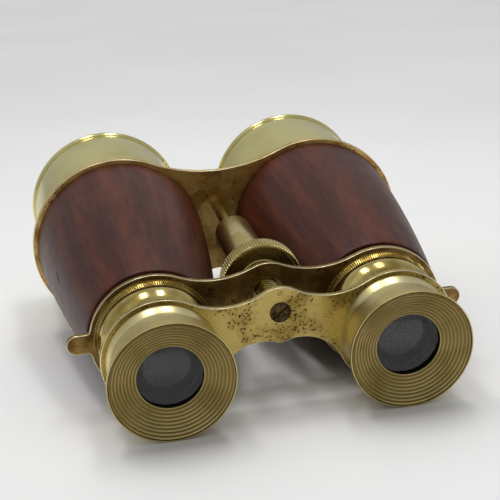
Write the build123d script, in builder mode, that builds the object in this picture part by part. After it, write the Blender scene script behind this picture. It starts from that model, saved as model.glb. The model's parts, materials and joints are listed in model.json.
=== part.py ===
from build123d import *
import os
from math import atan2, degrees, sqrt

# Opera glasses: two fixed telescopes side by side, focused by a knurled wheel on a centre
# screw that slides both eyepieces together on their bridge.
# Every piece is drawn standing on the objective rims: optical axes along Z, the focus axis on
# the +Y side. The last section lays the glasses down as they rest on a table: X across the
# barrels, +Y from the eyecups to the objectives, +Z up. Millimetres.

# --- Whole object
eye_spacing = 64.0  # between the two optical axes
focus_axis_y = 8.9  # focus screw's height over the plane of the optical axes
barrel_length = 68.1  # between the two fixed plates
solder_gap = 0.02  # radial, where pieces are soldered, screwed or pressed together
end_gap = 0.1  # axial play at the turning faces
edge_round = 0.25  # finger-safe edges of wheel and sleeve

# --- Objective tubes
objective_tube_r = 24.5
objective_tube_wall = 0.8
objective_tube_length = 37.7  # rim to the objective-end plate
bead_swell = 0.75  # rolled bead round the front rim, beyond the tube
bead_height = 2.2
cap_bore_step = 0.25  # front of the tube is bored wider, where a push-in cap goes
cap_bore_depth = 6.0

# --- Objective lenses and their cell
crown_front_curve = 72.0  # radii of curvature
cement_curve = 70.0
crown_edge = 1.2  # glass thickness at the edge
flint_centre = 1.8
cement_gap = 0.02
lens_recess = 1.0  # crown's front vertex behind the cell's front face
lens_play = 0.03  # along the axis
lens_fit = 0.1  # radial, glass in its seat
cell_wall = 1.18
cell_lip = 0.8  # how far the lip reaches over the glass
cell_tail = 1.7  # cell beyond the lens ring
lens_ring_height = 1.5
lens_ring_width = 1.6

# --- Plates
plate_thickness = 1.5
objective_ring_width = 3.4  # objective-end plate beyond each tube
saddle_top = 21.0  # its web's upper edge at the middle
saddle_bottom = -12.9
eyepiece_ring_width = 1.46  # eyepiece-end plate beyond each liner
end_boss_r = 9.8
end_boss_rise = 8.5  # top of the web's hump over the focus axis
end_waist_r = 25.0
end_arch = -1.0
lug_reach = 6.2  # strap lug beyond the ring
lug_width = 5.6
lug_root_r = 1.2
screw_hole_gap = 1.05  # round the focus screw where it passes through
bridge_ring_width = 3.45  # sliding eyepiece bridge beyond each draw tube
bridge_boss_r = 9.1
bridge_boss_rise = 7.1
bridge_waist_r = 19.6
bridge_arch_r = 12.7
bridge_point = -0.2  # small downward point at the middle of the arch

# --- Draw tubes, collars and light seals
draw_tube_r = 13.2
draw_tube_wall = 0.8
running_gap = 0.08  # draw tube in its collar
collar_bush_wall = 0.92
collar_bush_depth = 16.8  # below the eyepiece-end plate's upper face
collar_nose_wall = 0.62
collar_dome_swell = 2.1  # dome's foot beyond its nose
collar_dome_height = 4.8
collar_cove_depth = 0.5
collar_cove_height = 1.2
collar_flange_step = 0.7  # knurled flange's foot beyond the dome
collar_flange_taper = 0.75
collar_flange_height = 2.2
seal_width = 0.72
seal_height = 1.8
seal_below_nose = 2.2
draw_stop_step = 0.1  # stop ring inside the bush's outer size
draw_stop_height = 2.5
travel_out = 8.0  # bridge's travel from rest, away from the barrels
travel_in = 4.0
stop_gap = 0.3  # draw stops to bushes, fully drawn out
closed_gap = 0.2  # bridge to collars, fully closed

# --- Body tubes and wooden barrels
liner_wall = 0.7
liner_room = 1.58  # round the collar's bush, inside the liner's small end
wood_small_wall = 1.72  # wood and glue over the liner's small end
wood_large_wall = 2.05  # over the objective tube's size at the large end
barrel_swell = 0.9  # how far the turned side bows out from a straight cone
barrel_end_gap = 1.4  # bare liner between the wood and the eyepiece-end plate

# --- Eyecups and eye lenses
eyecup_height = 14.3
eyecup_base_width = 2.3  # eyecup's foot beyond the draw tube
eyecup_waist_step = 0.9  # waist inside the foot
eyecup_waist_height = 3.6
eyecup_flare = 2.33  # rim beyond the waist
eyecup_rim_band = 1.3
eyecup_lip = 0.7
eyecup_dish = 3.1  # how far the face sinks from rim to eye hole
eyecup_spigot_length = 4.0
eyecup_spigot_wall = 1.48
eye_seat_step = 1.1
eye_hole_lip = 0.93
eye_hole_depth = 1.5
eye_lens_curve = 45.0
eye_lens_edge = 3.0
eye_ring_height = 1.5
eye_ring_width = 1.2

# --- Focus drive
focus_screw_r = 3.1
focus_screw_length = 43.2
thread_gap = 0.06  # focus screw in the sleeve
bridge_screw_step = 1.6  # bridge screw inside the focus screw
bridge_screw_head_step = 1.23
bridge_screw_head_height = 1.0
bridge_screw_length = 7.5
thread_end_gap = 1.0  # tapped hole beyond the screw's tip
slot_width = 0.6
slot_depth = 0.5
bridge_slot_angle = 38.0
wheel_r = 11.49
wheel_width = 5.0
wheel_to_plate = 4.8  # wheel's face below the eyepiece-end plate
sleeve_nose_wall = 1.44
wheel_seat_step = 0.4
sleeve_shoulder = 0.6  # sleeve beyond the wheel's seat
sleeve_tail = 34.0  # sleeve beyond the wheel
sleeve_floor = 4.0
washer_rim = 0.6  # beyond the sleeve's nose
washer_gap = 0.3
washer_height = 0.7
spindle_r = 2.0
spindle_journal_step = 0.6
journal_gap = 0.05
spindle_tail_step = 0.5
spindle_nut_width = 1.7
spindle_nut_height = 1.5
spindle_screw_wall = 0.7  # spindle left round its end screw
spindle_screw_head_gap = 0.36
spindle_screw_head_height = 1.4
spindle_screw_length = 3.0

# --- Radii that fit to one another
half_spacing = eye_spacing / 2
objective_bore_r = objective_tube_r - objective_tube_wall
bead_r = objective_tube_r + bead_swell
cap_bore_r = objective_bore_r + cap_bore_step
cell_seat_r = objective_bore_r - solder_gap - cell_wall
objective_lens_r = cell_seat_r - lens_fit
cell_lip_r = objective_lens_r - cell_lip
objective_ring_r = objective_tube_r + objective_ring_width
draw_bore_r = draw_tube_r + running_gap
draw_tube_bore_r = draw_tube_r - draw_tube_wall
collar_bush_r = draw_bore_r + collar_bush_wall
collar_nose_r = draw_bore_r + collar_nose_wall
collar_dome_r = collar_nose_r + collar_dome_swell
collar_cove_r = collar_dome_r - collar_cove_depth
collar_flange_r = collar_dome_r + collar_flange_step
seal_groove_r = draw_bore_r + seal_width
draw_stop_r = collar_bush_r - draw_stop_step
liner_small_r = collar_bush_r + liner_room + liner_wall
liner_large_r = objective_tube_r - solder_gap
barrel_small_r = liner_small_r + wood_small_wall
barrel_large_r = objective_tube_r + wood_large_wall
eyepiece_ring_r = liner_small_r + eyepiece_ring_width
bridge_ring_r = draw_tube_r + bridge_ring_width
eyecup_base_r = draw_tube_r + eyecup_base_width
eyecup_waist_r = eyecup_base_r - eyecup_waist_step
eyecup_rim_r = eyecup_waist_r + eyecup_flare
eyecup_spigot_r = draw_tube_bore_r - solder_gap
eyecup_spigot_bore_r = eyecup_spigot_r - eyecup_spigot_wall
eye_seat_r = eyecup_spigot_bore_r - eye_seat_step
eye_lens_r = eye_seat_r - lens_fit
eye_hole_r = eye_lens_r - eye_hole_lip
screw_hole_r = focus_screw_r + screw_hole_gap
bridge_screw_r = focus_screw_r - bridge_screw_step
bridge_screw_head_r = bridge_screw_r + bridge_screw_head_step
sleeve_bore_r = focus_screw_r + thread_gap
sleeve_nose_r = sleeve_bore_r + sleeve_nose_wall
wheel_seat_r = sleeve_nose_r + wheel_seat_step
sleeve_r = wheel_seat_r + sleeve_shoulder
washer_r = sleeve_nose_r + washer_rim
washer_bore_r = focus_screw_r + washer_gap
spindle_journal_r = spindle_r - spindle_journal_step
journal_bore_r = spindle_journal_r + journal_gap
spindle_tail_r = spindle_r - spindle_tail_step
spindle_nut_r = spindle_tail_r + spindle_nut_width
spindle_screw_r = spindle_journal_r - spindle_screw_wall
spindle_screw_head_r = sleeve_bore_r - spindle_screw_head_gap

# --- Heights along the optical axes, from the objective rims
front_plate_z = objective_tube_length
front_plate_top = front_plate_z + plate_thickness
rear_plate_z = front_plate_top + barrel_length
rear_plate_top = rear_plate_z + plate_thickness
flange_top = rear_plate_top + collar_flange_height
dome_base = flange_top + collar_cove_height
collar_top = dome_base + collar_dome_height
bridge_z = collar_top + closed_gap + travel_in
bridge_top = bridge_z + plate_thickness
eyecup_top = bridge_top + eyecup_height
collar_bush_z = rear_plate_top - collar_bush_depth
tube_end_z = collar_bush_z - stop_gap - travel_out - draw_stop_height
wheel_top = rear_plate_z - wheel_to_plate
wheel_z = wheel_top - wheel_width
sleeve_z = wheel_z - sleeve_tail
sleeve_floor_z = sleeve_z + sleeve_floor
washer_z = rear_plate_z - end_gap - washer_height
sleeve_top = washer_z - end_gap
sides = {"left": -half_spacing, "right": half_spacing}
pieces = {}


def keep(builder, name):
    """Label a finished piece and hold it until the glasses are laid down."""
    builder.part.label = name
    pieces[name] = builder.part


def section(x, y=0.0):
    """Plane for a half profile: across is the radius, up is Z, about the line at x, y."""
    return Plane(origin=(x, y, 0), x_dir=(1, 0, 0), z_dir=(0, -1, 0))


def upright(x, y=0.0):
    """The line along Z at x, y."""
    return Axis((x, y, 0), (0, 0, 1))


def sagitta(curve, radius):
    """Depth of a spherical surface over a disc of this radius."""
    return curve - sqrt(curve**2 - radius**2)


def meeting_point(first, first_reach, second, second_reach, upper):
    """Where circles of these reaches about two points cross, on the upper or lower side."""
    apart = second - first
    along = (first_reach**2 - second_reach**2 + apart.length**2) / (2 * apart.length)
    off = sqrt(first_reach**2 - along**2)
    direction = apart.normalized()
    normal = Vector(direction.Y, -direction.X)
    if (normal.Y > 0) != upper:
        normal = normal * -1
    return first + direction * along + normal * off


def across(point):
    """The mirror image of a point on the other side of the centre line."""
    return Vector(-point.X, point.Y)


def toward(point, reach, target):
    """The point at this reach from one point towards another."""
    return point + (target - point).normalized() * reach


def tangent_saddle(ring_r, crossing):
    """Radius and height of the arc that touches both rings and crosses the middle at a height."""
    radius = (half_spacing**2 + crossing**2 - ring_r**2) / (2 * (ring_r - abs(crossing)))
    return radius, crossing + (radius if crossing > 0 else -radius)


# --- Barrels: fixed tubes, wood, collars and seals
swell_r = (barrel_small_r + barrel_large_r) / 2 + barrel_swell
wood_top = rear_plate_z - barrel_end_gap
liner_slope = (liner_large_r - liner_small_r) / barrel_length
liner_at_wood_top = liner_small_r + liner_slope * barrel_end_gap
seal_z = collar_top - seal_below_nose - seal_height

for side, x in sides.items():
    with BuildPart() as objective_tube:
        with BuildSketch(section(x)):
            with BuildLine():
                Polyline(
                    (objective_tube_r, bead_height),
                    (objective_tube_r, front_plate_top),
                    (objective_bore_r, front_plate_top),
                    (objective_bore_r, cap_bore_depth),
                    (cap_bore_r, cap_bore_depth),
                    (cap_bore_r, 0),
                    (objective_tube_r, 0),
                )
                ThreePointArc(
                    (objective_tube_r, 0),
                    (bead_r, bead_height / 2),
                    (objective_tube_r, bead_height),
                )
            make_face()
        revolve(axis=upright(x))
    keep(objective_tube, f"{side}_objective_tube")

    with BuildPart() as body_tube:
        with BuildSketch(section(x)):
            Polygon(
                (liner_large_r - liner_wall, front_plate_top),
                (liner_large_r, front_plate_top),
                (liner_small_r, rear_plate_z),
                (liner_small_r - liner_wall, rear_plate_z),
            )
        revolve(axis=upright(x))
    keep(body_tube, f"{side}_body_tube")

    with BuildPart() as wood_barrel:
        with BuildSketch(section(x)):
            with BuildLine():
                Polyline(
                    (barrel_small_r, wood_top),
                    (liner_at_wood_top + solder_gap, wood_top),
                    (liner_large_r + solder_gap, front_plate_top),
                    (barrel_large_r, front_plate_top),
                )
                ThreePointArc(
                    (barrel_large_r, front_plate_top),
                    (swell_r, (front_plate_top + wood_top) / 2),
                    (barrel_small_r, wood_top),
                )
            make_face()
        revolve(axis=upright(x))
    keep(wood_barrel, f"{side}_wood_barrel")

    with BuildPart() as collar:
        with BuildSketch(section(x)):
            with BuildLine():
                Polyline(
                    (collar_nose_r, collar_top),
                    (draw_bore_r, collar_top),
                    (draw_bore_r, collar_bush_z),
                    (collar_bush_r, collar_bush_z),
                    (collar_bush_r, rear_plate_top),
                    (collar_flange_r, rear_plate_top),
                    (collar_flange_r - collar_flange_taper, flange_top),
                    (collar_cove_r, flange_top),
                    (collar_cove_r, dome_base),
                    (collar_dome_r, dome_base),
                )
                TangentArc(
                    (collar_dome_r, dome_base),
                    (collar_nose_r, collar_top),
                    tangent=(0, 1),
                )
            make_face()
        revolve(axis=upright(x))
        with BuildSketch(Plane.XY.offset(seal_z)):
            with Locations((x, 0)):
                Circle(seal_groove_r)
        extrude(amount=seal_height, mode=Mode.SUBTRACT)
    keep(collar, f"{side}_collar")

    with BuildPart() as light_seal:
        with BuildSketch(Plane.XY.offset(seal_z)):
            with Locations((x, 0)):
                Circle(seal_groove_r - solder_gap)
                Circle(draw_bore_r, mode=Mode.SUBTRACT)
        extrude(amount=seal_height)
    keep(light_seal, f"{side}_light_seal")

# --- Objective lenses, each cemented pair in its cell with a screwed ring behind
vertex_z = cap_bore_depth + lens_recess
crown_edge_z = vertex_z + sagitta(crown_front_curve, objective_lens_r)
cement_edge_z = crown_edge_z + crown_edge
cement_depth = sagitta(cement_curve, objective_lens_r)
flint_edge_z = cement_edge_z + cement_gap
flint_back_z = flint_edge_z + cement_depth + flint_centre
cell_lip_z = vertex_z + sagitta(crown_front_curve, cell_lip_r) - lens_play
lens_ring_z = flint_back_z + lens_play
cell_top = lens_ring_z + lens_ring_height + cell_tail

for side, x in sides.items():
    with BuildPart() as objective_cell:
        with BuildSketch(section(x)):
            Polygon(
                (cell_lip_r, cap_bore_depth),
                (objective_bore_r - solder_gap, cap_bore_depth),
                (objective_bore_r - solder_gap, cell_top),
                (cell_seat_r, cell_top),
                (cell_seat_r, cell_lip_z),
                (cell_lip_r, cell_lip_z),
            )
        revolve(axis=upright(x))
    keep(objective_cell, f"{side}_objective_cell")

    with BuildPart() as crown_lens:
        with BuildSketch(section(x)):
            with BuildLine():
                Line((0, vertex_z), (0, cement_edge_z + cement_depth))
                RadiusArc(
                    (0, cement_edge_z + cement_depth),
                    (objective_lens_r, cement_edge_z),
                    cement_curve,
                )
                Line((objective_lens_r, cement_edge_z), (objective_lens_r, crown_edge_z))
                RadiusArc((objective_lens_r, crown_edge_z), (0, vertex_z), crown_front_curve)
            make_face()
        revolve(axis=upright(x))
    keep(crown_lens, f"{side}_crown_lens")

    with BuildPart() as flint_lens:
        with BuildSketch(section(x)):
            with BuildLine():
                Polyline(
                    (objective_lens_r, flint_edge_z),
                    (objective_lens_r, flint_back_z),
                    (0, flint_back_z),
                    (0, flint_edge_z + cement_depth),
                )
                RadiusArc(
                    (0, flint_edge_z + cement_depth),
                    (objective_lens_r, flint_edge_z),
                    cement_curve,
                )
            make_face()
        revolve(axis=upright(x))
    keep(flint_lens, f"{side}_flint_lens")

    with BuildPart() as objective_ring:
        with BuildSketch(Plane.XY.offset(lens_ring_z)):
            with Locations((x, 0)):
                Circle(cell_seat_r - solder_gap)
                Circle(cell_seat_r - lens_ring_width, mode=Mode.SUBTRACT)
        extrude(amount=lens_ring_height)
    keep(objective_ring, f"{side}_objective_ring")

# --- Fixed plates
rings = [(-half_spacing, 0), (half_spacing, 0)]
ring_centre = Vector(half_spacing, 0)

with BuildPart() as objective_end_plate:
    with BuildSketch(Plane.XY.offset(front_plate_z)):
        top_r, top_y = tangent_saddle(objective_ring_r, saddle_top)
        low_r, low_y = tangent_saddle(objective_ring_r, saddle_bottom)
        top_touch = toward(ring_centre, objective_ring_r, Vector(0, top_y))
        low_touch = toward(ring_centre, objective_ring_r, Vector(0, low_y))
        with Locations(rings):
            Circle(objective_ring_r)
        Polygon(
            ring_centre,
            top_touch,
            across(top_touch),
            across(ring_centre),
            across(low_touch),
            low_touch,
        )
        with Locations((0, top_y)):
            Circle(top_r, mode=Mode.SUBTRACT)
        with Locations((0, low_y)):
            Circle(low_r, mode=Mode.SUBTRACT)
        with Locations(rings):
            Circle(objective_tube_r + solder_gap, mode=Mode.SUBTRACT)
        with Locations((0, focus_axis_y)):
            Circle(spindle_tail_r + solder_gap, mode=Mode.SUBTRACT)
    extrude(amount=plate_thickness)
keep(objective_end_plate, "objective_end_plate")


def humped_web(ring_r, boss_r, boss_top, waist_r):
    """Two rings, the hump between them, and the waist arcs that touch ring and hump."""
    hump = Vector(0, boss_top - boss_r)
    waist = meeting_point(ring_centre, ring_r + waist_r, hump, boss_r + waist_r, upper=True)
    ring_touch = toward(ring_centre, ring_r, waist)
    hump_touch = toward(hump, boss_r, waist)
    with Locations(rings):
        Circle(ring_r)
    with Locations(hump):
        Circle(boss_r)
    return waist, [ring_centre, ring_touch, hump_touch]


with BuildPart() as eyepiece_end_plate:
    with BuildSketch(Plane.XY.offset(rear_plate_z)) as end_outline:
        waist, web = humped_web(
            eyepiece_ring_r, end_boss_r, focus_axis_y + end_boss_rise, end_waist_r
        )
        low_r, low_y = tangent_saddle(eyepiece_ring_r, end_arch)
        low_touch = toward(ring_centre, eyepiece_ring_r, Vector(0, low_y))
        web_mirror = [across(point) for point in reversed(web)]
        Polygon(*web, *web_mirror, across(low_touch), low_touch)
        with Locations(waist, across(waist)):
            Circle(end_waist_r, mode=Mode.SUBTRACT)
        with Locations((0, low_y)):
            Circle(low_r, mode=Mode.SUBTRACT)
        ring_edge = half_spacing + eyepiece_ring_r
        with Locations((ring_edge, 0), (-ring_edge, 0)):
            SlotCenterToCenter(2 * lug_reach - lug_width, lug_width)
        root_x = half_spacing + sqrt(eyepiece_ring_r**2 - (lug_width / 2) ** 2)
        lug_roots = end_outline.vertices().filter_by(lambda v: abs(abs(v.X) - root_x) < 0.01)
        fillet(lug_roots, radius=lug_root_r)
        with Locations(rings):
            Circle(collar_bush_r + solder_gap, mode=Mode.SUBTRACT)
        with Locations((0, focus_axis_y)):
            Circle(screw_hole_r, mode=Mode.SUBTRACT)
    extrude(amount=plate_thickness)
keep(eyepiece_end_plate, "eyepiece_end_plate")

# --- Sliding eyepiece bridge and what it carries
with BuildPart() as eyepiece_bridge:
    with BuildSketch(Plane.XY.offset(bridge_z)):
        waist, web = humped_web(
            bridge_ring_r, bridge_boss_r, focus_axis_y + bridge_boss_rise, bridge_waist_r
        )
        point = Vector(0, bridge_point)
        arch = meeting_point(
            ring_centre, bridge_ring_r + bridge_arch_r, point, bridge_arch_r, upper=False
        )
        low_touch = toward(ring_centre, bridge_ring_r, arch)
        web_mirror = [across(corner) for corner in reversed(web)]
        Polygon(*web, *web_mirror, across(low_touch), point, low_touch)
        with Locations(waist, across(waist)):
            Circle(bridge_waist_r, mode=Mode.SUBTRACT)
        with Locations(arch, across(arch)):
            Circle(bridge_arch_r, mode=Mode.SUBTRACT)
        with Locations(rings):
            Circle(draw_tube_r + solder_gap, mode=Mode.SUBTRACT)
        with Locations((0, focus_axis_y)):
            Circle(bridge_screw_r + solder_gap, mode=Mode.SUBTRACT)
    extrude(amount=plate_thickness)
    with BuildSketch(Plane.XY.offset(bridge_top)):
        with Locations((0, focus_axis_y)):
            Circle(bridge_screw_head_r + solder_gap)
    extrude(amount=-bridge_screw_head_height, mode=Mode.SUBTRACT)
keep(eyepiece_bridge, "eyepiece_bridge")

hole_face_z = eyecup_top - eyecup_dish
eye_seat_z = hole_face_z - eye_hole_depth
eye_lens_z = eye_seat_z - lens_play - eye_lens_edge
eye_ring_z = eye_lens_z - lens_play - eye_ring_height
eye_lens_dip = sagitta(eye_lens_curve, eye_lens_r)

for side, x in sides.items():
    with BuildPart() as draw_tube:
        with BuildSketch(Plane.XY.offset(tube_end_z)):
            with Locations((x, 0)):
                Circle(draw_tube_r)
                Circle(draw_tube_bore_r, mode=Mode.SUBTRACT)
        extrude(amount=bridge_top - tube_end_z)
    keep(draw_tube, f"{side}_draw_tube")

    with BuildPart() as draw_stop:
        with BuildSketch(Plane.XY.offset(tube_end_z)):
            with Locations((x, 0)):
                Circle(draw_stop_r)
                Circle(draw_tube_r + solder_gap, mode=Mode.SUBTRACT)
        extrude(amount=draw_stop_height)
    keep(draw_stop, f"{side}_draw_stop")

    with BuildPart() as eyecup:
        with BuildSketch(section(x)):
            with BuildLine():
                Polyline(
                    (eyecup_rim_r - eyecup_lip, eyecup_top),
                    (eye_hole_r, hole_face_z),
                    (eye_hole_r, eye_seat_z),
                    (eye_seat_r, eye_seat_z),
                    (eye_seat_r, eye_ring_z),
                    (eyecup_spigot_bore_r, eye_ring_z),
                    (eyecup_spigot_bore_r, bridge_top - eyecup_spigot_length),
                    (eyecup_spigot_r, bridge_top - eyecup_spigot_length),
                    (eyecup_spigot_r, bridge_top),
                    (eyecup_base_r, bridge_top),
                )
                Spline(
                    (eyecup_base_r, bridge_top),
                    (eyecup_waist_r, bridge_top + eyecup_waist_height),
                    tangents=((0, 1), (0, 1)),
                )
                TangentArc(
                    (eyecup_waist_r, bridge_top + eyecup_waist_height),
                    (eyecup_rim_r, eyecup_top - eyecup_rim_band),
                    tangent=(0, 1),
                )
                Polyline(
                    (eyecup_rim_r, eyecup_top - eyecup_rim_band),
                    (eyecup_rim_r, eyecup_top),
                    (eyecup_rim_r - eyecup_lip, eyecup_top),
                )
            make_face()
        revolve(axis=upright(x))
    keep(eyecup, f"{side}_eyecup")

    with BuildPart() as eye_lens:
        with BuildSketch(section(x)):
            with BuildLine():
                Line((0, eye_lens_z + eye_lens_dip), (0, eye_lens_z + eye_lens_edge - eye_lens_dip))
                RadiusArc(
                    (0, eye_lens_z + eye_lens_edge - eye_lens_dip),
                    (eye_lens_r, eye_lens_z + eye_lens_edge),
                    -eye_lens_curve,
                )
                Line((eye_lens_r, eye_lens_z + eye_lens_edge), (eye_lens_r, eye_lens_z))
                RadiusArc((eye_lens_r, eye_lens_z), (0, eye_lens_z + eye_lens_dip), -eye_lens_curve)
            make_face()
        revolve(axis=upright(x))
    keep(eye_lens, f"{side}_eye_lens")

    with BuildPart() as eye_lens_ring:
        with BuildSketch(Plane.XY.offset(eye_ring_z)):
            with Locations((x, 0)):
                Circle(eye_seat_r - solder_gap)
                Circle(eye_seat_r - eye_ring_width, mode=Mode.SUBTRACT)
        extrude(amount=eye_ring_height)
    keep(eye_lens_ring, f"{side}_eye_lens_ring")

# --- Focus drive: screw on the bridge, wheel and sleeve on the spindle
with BuildPart() as focus_screw:
    with BuildSketch(Plane.XY.offset(bridge_z)):
        with Locations((0, focus_axis_y)):
            Circle(focus_screw_r)
    extrude(amount=-focus_screw_length)
    with BuildSketch(Plane.XY.offset(bridge_z)):
        with Locations((0, focus_axis_y)):
            Circle(bridge_screw_r + solder_gap)
    extrude(amount=-bridge_screw_length, mode=Mode.SUBTRACT)
keep(focus_screw, "focus_screw")

with BuildPart() as bridge_screw:
    with BuildSketch(Plane.XY.offset(bridge_top - bridge_screw_head_height)):
        with Locations((0, focus_axis_y)):
            Circle(bridge_screw_head_r)
    extrude(amount=bridge_screw_head_height)
    with BuildSketch(Plane.XY.offset(bridge_top - bridge_screw_head_height)):
        with Locations((0, focus_axis_y)):
            Circle(bridge_screw_r)
    extrude(amount=-(bridge_screw_length - thread_end_gap))
    with BuildSketch(Plane.XY.offset(bridge_top)):
        with Locations((0, focus_axis_y)):
            Rectangle(2 * bridge_screw_head_r, slot_width, rotation=bridge_slot_angle)
    extrude(amount=-slot_depth, mode=Mode.SUBTRACT)
keep(bridge_screw, "bridge_screw")

with BuildPart() as wheel_sleeve:
    with BuildSketch(section(0, focus_axis_y)):
        Polygon(
            (journal_bore_r, sleeve_z),
            (sleeve_r, sleeve_z),
            (sleeve_r, wheel_z),
            (wheel_seat_r, wheel_z),
            (wheel_seat_r, wheel_top),
            (sleeve_nose_r, wheel_top),
            (sleeve_nose_r, sleeve_top),
            (sleeve_bore_r, sleeve_top),
            (sleeve_bore_r, sleeve_floor_z),
            (journal_bore_r, sleeve_floor_z),
        )
    revolve(axis=upright(0, focus_axis_y))
    fillet(wheel_sleeve.edges().group_by(Axis.Z)[0].sort_by(SortBy.RADIUS)[-1], radius=edge_round)
keep(wheel_sleeve, "wheel_sleeve")

with BuildPart() as focus_wheel:
    with BuildSketch(Plane.XY.offset(wheel_z)):
        with Locations((0, focus_axis_y)):
            Circle(wheel_r)
            Circle(wheel_seat_r + solder_gap, mode=Mode.SUBTRACT)
    extrude(amount=wheel_width)
    fillet(focus_wheel.edges().filter_by(GeomType.CIRCLE).sort_by(SortBy.RADIUS)[-2:], edge_round)
keep(focus_wheel, "focus_wheel")

with BuildPart() as thrust_washer:
    with BuildSketch(Plane.XY.offset(washer_z)):
        with Locations((0, focus_axis_y)):
            Circle(washer_r)
            Circle(washer_bore_r, mode=Mode.SUBTRACT)
    extrude(amount=washer_height)
keep(thrust_washer, "thrust_washer")

journal_top = sleeve_floor_z + end_gap
with BuildPart() as spindle:
    with BuildSketch(section(0, focus_axis_y)):
        Polygon(
            (0, front_plate_z - spindle_nut_height),
            (spindle_tail_r, front_plate_z - spindle_nut_height),
            (spindle_tail_r, front_plate_top),
            (spindle_r, front_plate_top),
            (spindle_r, sleeve_z - end_gap),
            (spindle_journal_r, sleeve_z - end_gap),
            (spindle_journal_r, journal_top),
            (spindle_screw_r + solder_gap, journal_top),
            (spindle_screw_r + solder_gap, journal_top - spindle_screw_length),
            (0, journal_top - spindle_screw_length),
        )
    revolve(axis=upright(0, focus_axis_y))
keep(spindle, "spindle")

with BuildPart() as spindle_screw:
    with BuildSketch(Plane.XY.offset(journal_top)):
        with Locations((0, focus_axis_y)):
            Circle(spindle_screw_head_r)
    extrude(amount=spindle_screw_head_height)
    with BuildSketch(Plane.XY.offset(journal_top)):
        with Locations((0, focus_axis_y)):
            Circle(spindle_screw_r)
    extrude(amount=-spindle_screw_length + end_gap)
    with BuildSketch(Plane.XY.offset(journal_top + spindle_screw_head_height)):
        with Locations((0, focus_axis_y)):
            Rectangle(2 * spindle_screw_head_r, slot_width)
    extrude(amount=-slot_depth, mode=Mode.SUBTRACT)
keep(spindle_screw, "spindle_screw")

with BuildPart() as spindle_nut:
    with BuildSketch(Plane.XY.offset(front_plate_z)):
        with Locations((0, focus_axis_y)):
            RegularPolygon(spindle_nut_r, 6)
            Circle(spindle_tail_r + solder_gap, mode=Mode.SUBTRACT)
    extrude(amount=-spindle_nut_height)
keep(spindle_nut, "spindle_nut")

# --- Laid down: resting on the eyecup rims and the objective-end plate, centred over the floor
rise = objective_ring_r - eyecup_rim_r
lie_angle = degrees(atan2(rise, eyecup_top - front_plate_top))
laid_over = Rot(X=90 + lie_angle)
box = Compound(children=[laid_over * piece for piece in pieces.values()]).bounding_box()
rest = Pos(-box.center().X, -box.center().Y, -box.min.Z) * laid_over

os.makedirs("parts", exist_ok=True)
for name, piece in pieces.items():
    laid = rest * piece
    laid.label = name
    export_step(laid, f"parts/{name}.step")
print(f"{len(pieces)} pieces, lying at {lie_angle:.2f} degrees, box {box.size}")
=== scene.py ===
import json
from math import asin, atan2, cos, hypot, pi, radians, sin, sqrt

import bpy
from mathutils import Matrix, Vector


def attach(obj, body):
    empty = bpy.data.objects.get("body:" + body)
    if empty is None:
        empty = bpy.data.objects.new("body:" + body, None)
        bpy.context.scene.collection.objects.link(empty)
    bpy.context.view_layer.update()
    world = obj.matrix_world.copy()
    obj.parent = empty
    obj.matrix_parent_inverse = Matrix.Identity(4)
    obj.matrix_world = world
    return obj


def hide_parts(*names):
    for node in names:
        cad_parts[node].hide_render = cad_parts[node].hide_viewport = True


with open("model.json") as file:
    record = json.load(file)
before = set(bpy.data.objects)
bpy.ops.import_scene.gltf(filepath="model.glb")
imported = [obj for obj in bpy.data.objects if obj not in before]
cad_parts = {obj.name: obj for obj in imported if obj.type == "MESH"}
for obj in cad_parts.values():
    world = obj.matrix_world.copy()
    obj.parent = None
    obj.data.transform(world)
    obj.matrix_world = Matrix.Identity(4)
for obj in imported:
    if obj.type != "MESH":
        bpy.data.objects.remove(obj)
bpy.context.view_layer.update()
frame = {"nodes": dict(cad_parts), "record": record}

# Opera glasses: turned mahogany barrels in aged brass, with a knurled focus wheel.
# Sizes in the dictionaries are mm. Pieces are drawn standing on the objective rims, with the
# optical axes along Z and the focus axis on the +Y side, and are then laid down with the frame.

mm = 0.001
nodes = frame["nodes"]
record = frame["record"]
mounts = {m["name"]: m for m in record["mounts"]}
bodyOf = {n: body for body, members in record["behaviour"]["bodies"].items() for n in members}
slotOf = {s["node"]: s["material_slot"] for s in record["subparts"]}
sides = ["left", "right"]


def benchMatrix():  # from the standing glasses to the laid-down frame
    rims = [mounts[side + "_cap_bore"] for side in sides]
    towardsEye = -Vector(rims[0]["axis"])
    across = Vector((1, 0, 0))
    start = (Vector(rims[0]["pos_m"]) + Vector(rims[1]["pos_m"])) / 2
    start -= towardsEye * rims[0]["dims"]["length_mm"] / 2 * mm
    turn = Matrix((across, towardsEye.cross(across), towardsEye)).transposed().to_4x4()
    return Matrix.Translation(start) @ turn


bench = benchMatrix()


def benchBox(node):  # lowest and highest corner of a CAD node on the bench, mm
    toBench = bench.inverted()
    spots = [toBench @ v.co / mm for v in nodes[node].data.vertices]
    low, high = (Vector([pick(s[i] for s in spots) for i in range(3)]) for pick in (min, max))
    return low, high


def turnedSize(node):  # axis, outer radius, lowest and highest place of a turned node, mm
    low, high = benchBox(node)
    axis = ((low.x + high.x) / 2, (low.y + high.y) / 2)
    return axis, (high.x - low.x) / 2, low.z, high.z


# Camera: looks down on the eyecups from a little to their left
cameraLook = {
    "lens": 93.4,
    "location": (-0.07221, -0.37226, 0.14120),
    "turn": (73.485, 3.429, -12.610),  # degrees
}
bpy.ops.object.camera_add(
    location=cameraLook["location"], rotation=[radians(a) for a in cameraLook["turn"]]
)
camera = bpy.context.object
camera.name = "camera"
camera.data.lens = cameraLook["lens"]
camera.data.clip_start = 0.01
bpy.context.scene.camera = camera
bpy.context.scene.view_settings.view_transform = "Standard"
print("camera set")


# Materials

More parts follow.
